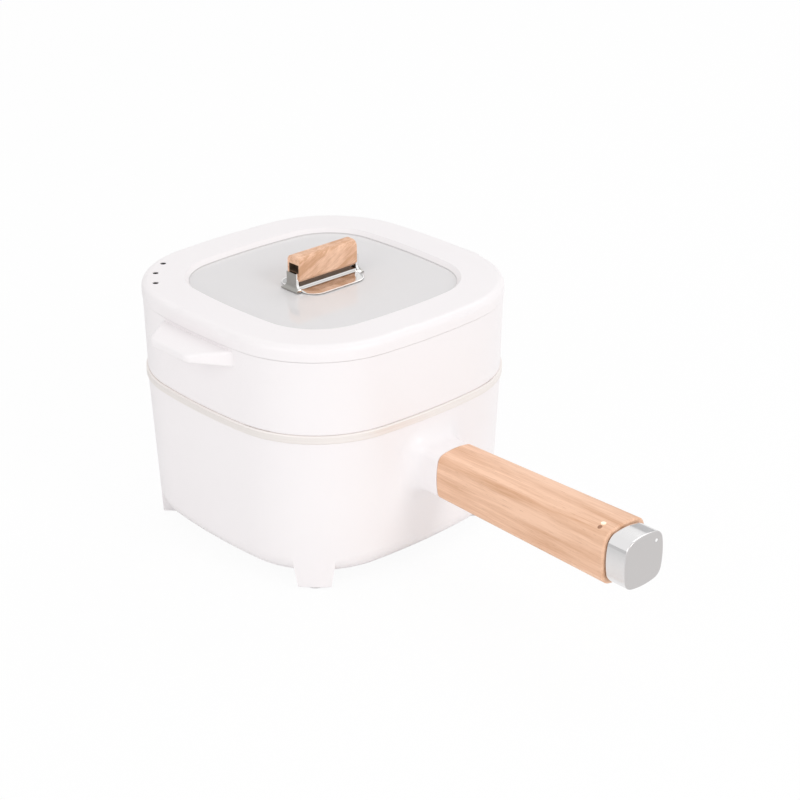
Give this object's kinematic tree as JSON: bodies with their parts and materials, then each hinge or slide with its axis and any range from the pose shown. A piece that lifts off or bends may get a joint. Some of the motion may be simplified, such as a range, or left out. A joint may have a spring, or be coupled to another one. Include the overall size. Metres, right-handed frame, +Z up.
{
  "type": "multicooker",
  "caption": "Square-sided table-top multicooker with a long wooden handle, a lift-off steamer tier, a framed glass lid and a turn knob on the handle's end.",
  "frame": {"origin": "on the table under the pot's axis, midway between the four pads", "axes": "+X along the long handle, -Y the front face with a steamer ear, +Z up"},
  "size_m": [0.3684, 0.242, 0.1818],
  "materials": {
    "white_plastic": "satin white moulding",
    "champagne_trim": "champagne anodised band",
    "pad_rubber": "matt grey rubber",
    "silicone": "translucent silicone",
    "coated_pot": "pale non-stick coat on drawn aluminium",
    "cast_aluminium": "as cast",
    "steel": "plated",
    "brass": "nickel-plated brass",
    "ceramic_body": "steatite",
    "black_plastic": "dark moulded plastic",
    "wire_jacket": "fibre-covered silicone lead",
    "oak": "light oiled oak, grain lengthwise",
    "chrome": "bright plated",
    "white_ink": "white filled dot",
    "clear_lens": "clear light pipe",
    "lid_glass": "tempered, faintly grey"
  },
  "bodies": {
    "base": {"outer_shell": "white_plastic", "base_cover": "white_plastic", "cover_screws": "steel", "foot_pad_handle_back": "pad_rubber", "foot_pad_handle_front": "pad_rubber", "foot_pad_inlet_back": "pad_rubber", "foot_pad_inlet_front": "pad_rubber", "inner_pot": "coated_pot", "pot_seal": "silicone", "trim_ring": "champagne_trim", "heater_plate": "cast_aluminium", "heating_element": "steel", "heat_shield": "steel", "shield_screws": "steel", "thermostat": "ceramic_body", "thermal_fuse": "ceramic_body", "fuse_clip": "steel", "terminal_block": "black_plastic", "inlet_housing": "black_plastic", "inlet_pins": "brass", "supply_wires": "wire_jacket", "switch_wires": "wire_jacket", "thermostat_wires": "wire_jacket", "handle_core": "black_plastic", "handle_root_screws": "steel", "handle_sleeve": "oak", "handle_end_plate": "black_plastic", "handle_end_screws": "steel", "rotary_switch": "black_plastic", "switch_nut": "steel", "indicator_led": "clear_lens", "indicator_lens": "clear_lens"},
    "control_knob": {"control_knob": "chrome", "knob_index": "white_ink", "switch_shaft": "steel"},
    "steamer": {"steamer_body": "white_plastic"},
    "lid": {"lid_rim": "white_plastic", "lid_glass": "lid_glass", "glass_gasket": "silicone", "lid_handle_base": "chrome", "lid_handle_pad": "silicone", "lid_grip": "oak", "lid_screws": "steel", "lid_screw_washers": "silicone"}
  },
  "joints": [
    {"name": "steamer_lift", "type": "slide", "parent": "base", "child": "steamer", "axis": [0, 0, 1], "range_m": [0, 0.14]},
    {"name": "lid_lift", "type": "slide", "parent": "steamer", "child": "lid", "axis": [0, 0, 1], "range_m": [0, 0.14]},
    {"name": "knob_turn", "type": "hinge", "parent": "base", "child": "control_knob", "pos_m": [0.261, 0, 0.0716], "axis": [-1, 0, 0], "range_deg": [0, 270]}
  ]
}
